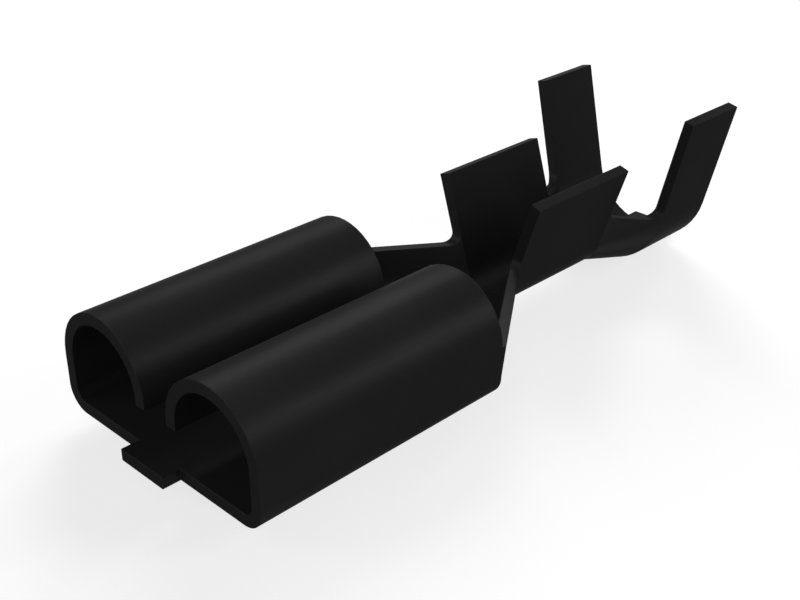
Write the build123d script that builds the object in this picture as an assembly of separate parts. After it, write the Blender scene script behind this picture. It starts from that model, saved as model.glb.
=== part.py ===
from build123d import *
from math import atan, cos, radians, sin, tan
import os

os.makedirs("parts", exist_ok=True)

# Sheet
stock = 0.33

# Receptacle: flat base, both sides rolled up and over towards the middle
receptacle_width = 7.70
receptacle_height = 3.23
receptacle_length = 8.00
roll_radius = 1.70
base_corner_radius = 0.64
lip_clearance = 1.03

# Stubs left where the piece was parted from its strip
front_stub_length = 0.52
front_stub_width = 1.66
rear_stub_length = 0.61
rear_stub_width = 1.45

# Neck between the receptacle and the wire barrel
neck_wall_height = 1.55
neck_turn_length = 0.15
neck_turn_lean = 7
neck_taper_length = 3.57
neck_fillet = 0.33

# Wire barrel
wire_barrel_length = 4.10
wire_barrel_radius = 1.065
wire_wing_height = 3.54
wire_wing_lean = 17.6

# Transition between the two barrels
transition_length = 1.58
transition_front_height = 1.84
transition_rear_height = 1.50
transition_front_fillet = 0.22
transition_rear_fillet = 0.34

# Insulation barrel
insulation_barrel_length = 2.38
insulation_barrel_radius = 2.235
insulation_barrel_drop = 0.38
insulation_wing_height = 4.80
insulation_wing_lean = 12.75

# Share of a round bottom, in degrees each side of its lowest line, that the flat floor runs into
floor_angle = 8

# Stations along the piece, counted from the mouth
taper_start = receptacle_length + neck_turn_length
wire_start = taper_start + neck_taper_length
wire_end = wire_start + wire_barrel_length
insulation_start = wire_end + transition_length
insulation_end = insulation_start + insulation_barrel_length

# Derived sizes
half_width = receptacle_width / 2
roll_y = half_width - roll_radius
roll_z = receptacle_height - roll_radius
lip_z = stock + lip_clearance
base_flat = half_width - base_corner_radius
insulation_bottom = -insulation_barrel_drop

# Filled sections reach above every wall, and what cuts them down reaches above the sections
section_top = 2 * insulation_wing_height
cutter_top = 2 * section_top


def arc_point(centre_y, centre_z, radius, angle):
    """Point on a corner arc, the angle in degrees from its lowest point."""
    turn = radians(angle)
    return centre_y + radius * sin(turn), centre_z - radius * cos(turn)


def closed_section(half, x):
    """Face at station x from the edges of its right half."""
    other_half = [edge.mirror(Plane.YZ) for edge in half]
    return Plane.YZ.offset(x) * Face(Wire(half + other_half))


def receptacle_half():
    """Right half of the receptacle section, from the outside of the base to its upper face."""
    inner_side = half_width - stock
    outer_lip = roll_y - roll_radius
    inner_lip = outer_lip + stock
    corner = (base_flat, base_corner_radius)
    roll = (roll_y, roll_z)
    return [
        Line((0, 0), (base_flat, 0)),
        CenterArc(corner, base_corner_radius, -90, 90),
        Line((half_width, base_corner_radius), (half_width, roll_z)),
        CenterArc(roll, roll_radius, 0, 180),
        Line((outer_lip, roll_z), (outer_lip, lip_z)),
        Line((outer_lip, lip_z), (inner_lip, lip_z)),
        Line((inner_lip, lip_z), (inner_lip, roll_z)),
        CenterArc(roll, roll_radius - stock, 0, 180),
        Line((inner_side, roll_z), (inner_side, base_corner_radius)),
        CenterArc(corner, base_corner_radius - stock, -90, 90),
        Line((base_flat, stock), (0, stock)),
    ]


def channel(x, bottom, flat, radius, lean, inset):
    """Filled section: floor, two corner arcs and walls leaning outwards, offset inwards by inset."""
    centre = bottom + radius
    inner = radius - inset
    first = 0 if flat else floor_angle
    last = 90 - lean
    lowest = (0, bottom + inset)
    floor_edge = arc_point(flat, centre, inner, first)
    foot = arc_point(flat, centre, inner, last)
    top = (foot[0] + (section_top - foot[1]) * tan(radians(lean)), section_top)
    if flat:
        floor = Line(lowest, floor_edge)
    else:
        floor = ThreePointArc(lowest, arc_point(flat, centre, inner, first / 2), floor_edge)
    half = [
        floor,
        ThreePointArc(floor_edge, arc_point(flat, centre, inner, (first + last) / 2), foot),
        Line(foot, top),
        Line(top, (0, section_top)),
    ]
    return closed_section(half, x)


def base_channel(x, inset=0.0):
    return channel(x, 0, base_flat, base_corner_radius, 0, inset)


def turn_channel(x, inset=0.0):
    return channel(x, 0, turn_flat, base_corner_radius, neck_turn_lean, inset)


def wire_channel(x, inset=0.0):
    return channel(x, 0, 0, wire_barrel_radius, wire_wing_lean, inset)


def insulation_channel(x, inset=0.0):
    return channel(
        x,
        insulation_bottom,
        0,
        insulation_barrel_radius,
        insulation_wing_lean,
        inset,
    )


def barrel(start, length, bottom, radius, lean, height):
    """Open crimp barrel: round bottom and two wings whose top edges are cut square to the sheet."""
    centre = bottom + radius
    inner = radius - stock
    last = 90 - lean
    slope = radians(lean)
    outer_foot = arc_point(0, centre, radius, last)
    inner_foot = arc_point(0, centre, inner, last)
    outer_top = (outer_foot[0] + (height - outer_foot[1]) * tan(slope), height)
    inner_top = (outer_top[0] - stock * cos(slope), outer_top[1] + stock * sin(slope))
    half = [
        ThreePointArc((0, bottom), arc_point(0, centre, radius, last / 2), outer_foot),
        Line(outer_foot, outer_top),
        Line(outer_top, inner_top),
        Line(inner_top, inner_foot),
        ThreePointArc(inner_foot, arc_point(0, centre, inner, last / 2), (0, bottom + stock)),
    ]
    return extrude(closed_section(half, start), length)


def wall_y(bottom, radius, lean, height):
    """Half width over the outside of a barrel's walls at a given height."""
    slope = radians(lean)
    return (radius + (height - bottom - radius) * sin(slope)) / cos(slope)


def bend_shift(start_y, end_y, length):
    """Distance along the piece between a wall's outer and inner bend lines where it turns in or out."""
    return stock * tan(atan(abs(end_y - start_y) / length) / 2)


def across(outline):
    """Cutter from an outline in the side view, wider than the piece."""
    return extrude(outline, receptacle_width, both=True)


def side_outline(points, fillets):
    """Face in the side view from its corner points, with the corners named in fillets rounded."""
    face = Plane.XZ * make_face(Polyline(*points, close=True))
    for (x, z), radius in fillets:
        corner = face.vertices().sort_by_distance((x, 0, z))[0]
        face = fillet(corner, radius)
    return face


# Receptacle
terminal = extrude(closed_section(receptacle_half(), 0), receptacle_length)

# Neck
turn_flat = half_width - wall_y(0, base_corner_radius, neck_turn_lean, neck_wall_height)
neck_end_y = wall_y(0, wire_barrel_radius, wire_wing_lean, neck_wall_height)
neck_shift = bend_shift(half_width, neck_end_y, neck_taper_length)
inner_start = taper_start - neck_shift
neck = loft([base_channel(receptacle_length), turn_channel(taper_start)], ruled=True)
neck += loft([turn_channel(taper_start), wire_channel(wire_start)], ruled=True)
neck -= loft([base_channel(receptacle_length, stock), turn_channel(inner_start, stock)], ruled=True)
neck -= loft([turn_channel(inner_start, stock), wire_channel(wire_start, stock)], ruled=True)
neck_corner = (wire_start, neck_wall_height)
neck -= across(
    side_outline(
        [
            (receptacle_length, neck_wall_height),
            neck_corner,
            (wire_start, cutter_top),
            (receptacle_length, cutter_top),
        ],
        [(neck_corner, neck_fillet)],
    )
)
terminal += neck

# Wire barrel
terminal += barrel(
    wire_start,
    wire_barrel_length,
    0,
    wire_barrel_radius,
    wire_wing_lean,
    wire_wing_height,
)

# Transition
transition = loft([wire_channel(wire_end), insulation_channel(insulation_start)], ruled=True)
transition -= loft(
    [wire_channel(wire_end, stock), insulation_channel(insulation_start, stock)],
    ruled=True,
)
front_corner = (wire_end, transition_front_height)
rear_corner = (insulation_start, transition_rear_height)
transition -= across(
    side_outline(
        [
            front_corner,
            rear_corner,
            (insulation_start, cutter_top),
            (wire_end, cutter_top),
        ],
        [
            (front_corner, transition_front_fillet),
            (rear_corner, transition_rear_fillet),
        ],
    )
)
terminal += transition

# Insulation barrel
terminal += barrel(
    insulation_start,
    insulation_barrel_length,
    insulation_bottom,
    insulation_barrel_radius,
    insulation_wing_lean,
    insulation_wing_height,
)

# Stubs at both ends
terminal += Pos(-front_stub_length / 2, 0, stock / 2) * Box(front_stub_length, front_stub_width, stock)
terminal += Pos(insulation_end + rear_stub_length / 2, 0, insulation_bottom + stock / 2) * Box(
    rear_stub_length,
    rear_stub_width,
    stock,
)

export_step(terminal, "parts/terminal_body.step")
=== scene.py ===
from math import pi, radians

import bpy
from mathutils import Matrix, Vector


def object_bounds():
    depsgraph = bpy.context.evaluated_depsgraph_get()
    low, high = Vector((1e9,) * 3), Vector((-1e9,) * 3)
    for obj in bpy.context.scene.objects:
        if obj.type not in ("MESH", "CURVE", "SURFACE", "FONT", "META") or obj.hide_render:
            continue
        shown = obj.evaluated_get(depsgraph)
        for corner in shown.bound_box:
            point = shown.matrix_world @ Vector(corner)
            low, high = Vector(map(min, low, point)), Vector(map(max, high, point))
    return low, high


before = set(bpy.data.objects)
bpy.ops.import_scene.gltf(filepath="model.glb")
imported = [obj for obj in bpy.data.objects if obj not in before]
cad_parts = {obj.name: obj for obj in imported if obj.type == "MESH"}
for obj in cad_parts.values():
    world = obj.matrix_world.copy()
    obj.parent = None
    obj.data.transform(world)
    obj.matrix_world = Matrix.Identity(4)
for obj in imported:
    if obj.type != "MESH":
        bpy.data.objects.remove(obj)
cad_low, cad_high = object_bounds()

MM = 0.001
WHITE = (1, 1, 1, 1)

# Camera: place, direction and lens as in the photograph
CAMERA_PLACE = Vector((-13.316, -21.458, 17.795)) * MM
CAMERA_AZIMUTH = -45.004
CAMERA_ELEVATION = 28.368
LENS = 56.34
SENSOR_WIDTH = 36.0
NEAREST_SEEN = 1 * MM
FARTHEST_SEEN = 10

# Surroundings
FLOOR_HALF_WIDTH = 220 * MM
FLOOR_COLOUR = (0.30, 0.30, 0.30, 1)
FLOOR_GLOW = 0.70
WORLD_LEVEL = 0.06
WORLD_SEEN_LEVEL = 1.0
LAMP_DISTANCE = 400 * MM

# Lamps: direction from the object, width, how bright a white surface facing the lamp gets from it alone,
# and whether it casts shadows. The last one shines up through the floor, as light that a white table
# throws back.
LAMPS = {
    "right_lamp": ((0.62, -0.64, 0.46), 180 * MM, 0.29, True),
    "rear_lamp": ((0.62, 0.61, 0.45), 220 * MM, 1.04, True),
    "left_lamp": ((-0.62, 0.64, 0.45), 200 * MM, 0.16, True),
    "end_lamp": ((0.93, 0.20, 0.33), 140 * MM, 0.38, True),
    "front_fill": ((-0.84, -0.40, 0.38), 300 * MM, 0.47, False),
    "top_fill": ((0, 0, 1), 300 * MM, 0.12, False),
    "table_lamp": ((0.28, -0.32, -0.90), 120 * MM, 0.46, True),
}

# Plating: colours, gloss, and how far the normals are rounded at the sheet's edges
PLATING_DARK = (0.0143, 0.0143, 0.0146, 1)
PLATING_LIGHT = (0.0157, 0.0157, 0.0160, 1)
# Lighter colour at the sheet's edges: partly wear, partly a painted highlight
PLATING_EDGE_WEAR_AND_HIGHLIGHT = (0.020, 0.020, 0.020, 1)
PLATING_METALLIC = 0.33
PLATING_EDGE_TINT = (0.44, 0.44, 0.44, 1)
PLATING_ROUGHNESS = 0.38
ROUGHNESS_SPREAD = 0.02
EDGE_RADIUS = 0.035 * MM
EDGE_SAMPLES = 8

# Closeness of the rounded normal to the true one where the lighter edge colour is fullest, and where it
# begins. The lighter edge colour is partly wear and partly a painted highlight
EDGE_MARK_FULL = 0.7
EDGE_MARK_BEGINS = 0.98

# Noise: cells per millimetre across the piece, how much longer they are along it, and levels of detail
MOTTLE_SCALE = 0.5
MOTTLE_STRETCH = 1.5
MOTTLE_DETAIL = 2.0
GRAIN_SCALE = 12.0
GRAIN_STRETCH = 12.0
GRAIN_DETAIL = 3.0
FIBRE_SCALE = 2.0
FIBRE_STRETCH = 1.0
FIBRE_DETAIL = 3.0
NOISE_ROUGHNESS = 0.55
NOISE_LOW = 0.3
NOISE_HIGH = 0.7

# Relief of the rolled sheet and of the paper
GRAIN_STRENGTH = 0.1
GRAIN_DEPTH = 0.002 * MM
FIBRE_STRENGTH = 0.05
FIBRE_DEPTH = 0.01 * MM
PAPER_SMOOTHEST = 0.9
PAPER_ROUGHEST = 1.0


def add_camera():
    data = bpy.data.cameras.new("camera")
    data.sensor_fit = "HORIZONTAL"
    data.sensor_width = SENSOR_WIDTH
    data.lens = LENS
    data.clip_start = NEAREST_SEEN
    data.clip_end = FARTHEST_SEEN
    data.dof.use_dof = False
    camera = bpy.data.objects.new("camera", data)
    bpy.context.scene.collection.objects.link(camera)
    camera.location = CAMERA_PLACE
    camera.rotation_euler = (radians(90 - CAMERA_ELEVATION), 0, radians(CAMERA_AZIMUTH))
    bpy.context.scene.camera = camera


def new_material(name):
    material = bpy.data.materials.new(name)
    material.use_nodes = True
    shader = material.node_tree.nodes["Principled BSDF"]
    return material, material.node_tree, shader


def add_node(tree, kind, **settings):
    node = tree.nodes.new(kind)
    for name, value in settings.items():
        setattr(node, name, value)
    return node


def own_place(tree):
    """Each point's place in its piece's own coordinates."""
    return add_node(tree, "ShaderNodeTexCoord").outputs["Object"]


def add_noise(tree, place, scale, stretch, detail):
    """Noise of the given cells per millimetre, drawn out along the piece."""
    mapping = add_node(tree, "ShaderNodeMapping")
    mapping.inputs["Scale"].default_value = (scale / stretch / MM, scale / MM, scale / MM)
    tree.links.new(place, mapping.inputs["Vector"])
    noise = add_node(tree, "ShaderNodeTexNoise")
    noise.inputs["Scale"].default_value = 1.0
    noise.inputs["Detail"].default_value = detail
    noise.inputs["Roughness"].default_value = NOISE_ROUGHNESS
    tree.links.new(mapping.outputs["Vector"], noise.inputs["Vector"])
    return noise.outputs["Fac"]


def add_range(tree, value, to_low, to_high, from_low=NOISE_LOW, from_high=NOISE_HIGH):
    """Maps a value from one range to another."""
    node = add_node(tree, "ShaderNodeMapRange")
    node.inputs["From Min"].default_value = from_low
    node.inputs["From Max"].default_value = from_high
    node.inputs["To Min"].default_value = to_low
    node.inputs["To Max"].default_value = to_high
    tree.links.new(value, node.inputs["Value"])
    return node.outputs["Result"]


def add_math(tree, operation, first, second):
    node = add_node(tree, "ShaderNodeMath", operation=operation)
    tree.links.new(first, node.inputs[0])
    tree.links.new(second, node.inputs[1])
    return node.outputs["Value"]


def add_bump(tree, height, strength, depth):
    node = add_node(tree, "ShaderNodeBump")
    node.inputs["Strength"].default_value = strength
    node.inputs["Distance"].default_value = depth
    tree.links.new(height, node.inputs["Height"])
    return node


def add_seen(tree):
    """1 for what the camera sees directly, in a reflection or through something, and 0 for lighting."""
    path = add_node(tree, "ShaderNodeLightPath").outputs
    direct_or_glossy = add_math(tree, "MAXIMUM", path["Is Camera Ray"], path["Is Glossy Ray"])
    return add_math(tree, "MAXIMUM", direct_or_glossy, path["Is Transmission Ray"])


def add_edge_wear_and_highlight(tree, rounded_normal):
    """Mask for the lighter edge colour, partly wear and partly a painted highlight: 1 at the sheet's edges,
    where the rounded normal leaves the true one, and 0 on its faces.
    """
    geometry = add_node(tree, "ShaderNodeNewGeometry")
    closeness = add_node(tree, "ShaderNodeVectorMath", operation="DOT_PRODUCT")
    tree.links.new(rounded_normal, closeness.inputs[0])
    tree.links.new(geometry.outputs["Normal"], closeness.inputs[1])
    return add_range(tree, closeness.outputs["Value"], 1.0, 0.0, EDGE_MARK_FULL, EDGE_MARK_BEGINS)


def plated_material():
    """Near-black satin plating on rolled sheet: faint mottling, fine grain along the sheet, and edges
    painted lighter, partly as wear and partly as a painted highlight.
    """
    material, tree, shader = new_material("black_plating")
    place = own_place(tree)
    mottle = add_noise(tree, place, MOTTLE_SCALE, MOTTLE_STRETCH, MOTTLE_DETAIL)
    grain = add_noise(tree, place, GRAIN_SCALE, GRAIN_STRETCH, GRAIN_DETAIL)
    round_edge = add_node(tree, "ShaderNodeBevel", samples=EDGE_SAMPLES)
    round_edge.inputs["Radius"].default_value = EDGE_RADIUS
    rounded_normal = round_edge.outputs["Normal"]

    # Colour
    tone = add_node(tree, "ShaderNodeMix", data_type="RGBA")
    tone.inputs["A"].default_value = PLATING_DARK
    tone.inputs["B"].default_value = PLATING_LIGHT
    tree.links.new(add_range(tree, mottle, 0.0, 1.0), tone.inputs["Factor"])
    # Lighter colour at the sheet's edges, partly wear and partly a painted highlight
    edge_mark = add_node(tree, "ShaderNodeMix", data_type="RGBA")
    edge_mark.inputs["B"].default_value = PLATING_EDGE_WEAR_AND_HIGHLIGHT
    tree.links.new(tone.outputs["Result"], edge_mark.inputs["A"])
    tree.links.new(add_edge_wear_and_highlight(tree, rounded_normal), edge_mark.inputs["Factor"])
    tree.links.new(edge_mark.outputs["Result"], shader.inputs["Base Color"])

    # Gloss, all of it from the metallic share
    shader.inputs["Metallic"].default_value = PLATING_METALLIC
    shader.inputs["Specular IOR Level"].default_value = 0.0
    shader.inputs["Specular Tint"].default_value = PLATING_EDGE_TINT
    smoothest = PLATING_ROUGHNESS - ROUGHNESS_SPREAD
    roughest = PLATING_ROUGHNESS + ROUGHNESS_SPREAD
    tree.links.new(add_range(tree, grain, smoothest, roughest), shader.inputs["Roughness"])

    # Relief
    bump = add_bump(tree, grain, GRAIN_STRENGTH, GRAIN_DEPTH)
    tree.links.new(rounded_normal, bump.inputs["Normal"])
    tree.links.new(bump.outputs["Normal"], shader.inputs["Normal"])
    return material


def floor_material():
    """Matt pale paper that glows to the camera and in reflections, so that it is white round the shadow."""
    material, tree, shader = new_material("floor")
    fibre = add_noise(tree, own_place(tree), FIBRE_SCALE, FIBRE_STRETCH, FIBRE_DETAIL)
    shader.inputs["Base Color"].default_value = FLOOR_COLOUR
    shader.inputs["Specular IOR Level"].default_value = 0.0
    roughness = add_range(tree, fibre, PAPER_SMOOTHEST, PAPER_ROUGHEST)
    tree.links.new(roughness, shader.inputs["Roughness"])
    bump = add_bump(tree, fibre, FIBRE_STRENGTH, FIBRE_DEPTH)
    tree.links.new(bump.outputs["Normal"], shader.inputs["Normal"])

    # The glow shows to the camera and in reflections, and adds no other light
    glow = add_range(tree, add_seen(tree), 0.0, FLOOR_GLOW, 0, 1)
    tree.links.new(glow, shader.inputs["Emission Strength"])
    shader.inputs["Emission Color"].default_value = WHITE
    return material


def add_floor():
    """Plain floor under the object's lowest point. It lets the light of the lamp below it through."""
    bpy.ops.mesh.primitive_plane_add(size=2 * FLOOR_HALF_WIDTH, location=(0, 0, cad_low.z))
    floor = bpy.context.object
    floor.name = "floor"
    floor.data.materials.append(floor_material())
    floor.visible_shadow = False


def add_lamp(name, direction, width, level, casts_shadow):
    """Round soft lamp that shines at the middle of the object from the given direction."""
    data = bpy.data.lights.new(name, "AREA")
    data.shape = "DISK"
    data.size = width
    data.energy = level * pi ** 2 * LAMP_DISTANCE ** 2
    data.use_shadow = casts_shadow
    lamp = bpy.data.objects.new(name, data)
    bpy.context.scene.collection.objects.link(lamp)
    centre = (cad_low + cad_high) / 2
    away = Vector(direction).normalized()
    lamp.location = centre + away * LAMP_DISTANCE
    lamp.rotation_mode = "QUATERNION"
    lamp.rotation_quaternion = away.to_track_quat("Z", "Y")


def set_world():
    """White surround that is seen at full strength and lights the object only faintly."""
    world = bpy.data.worlds.new("world")
    world.use_nodes = True
    tree = world.node_tree
    background = tree.nodes["Background"]
    background.inputs["Color"].default_value = WHITE
    strength = add_range(tree, add_seen(tree), WORLD_LEVEL, WORLD_SEEN_LEVEL, 0, 1)
    tree.links.new(strength, background.inputs["Strength"])
    bpy.context.scene.world = world


add_camera()
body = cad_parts["terminal_body"]
plating = plated_material()
for slot in body.material_slots:
    slot.material = plating
add_floor()
for lamp_name, lamp in LAMPS.items():
    add_lamp(lamp_name, *lamp)
set_world()
bpy.context.scene.view_settings.view_transform = "Standard"
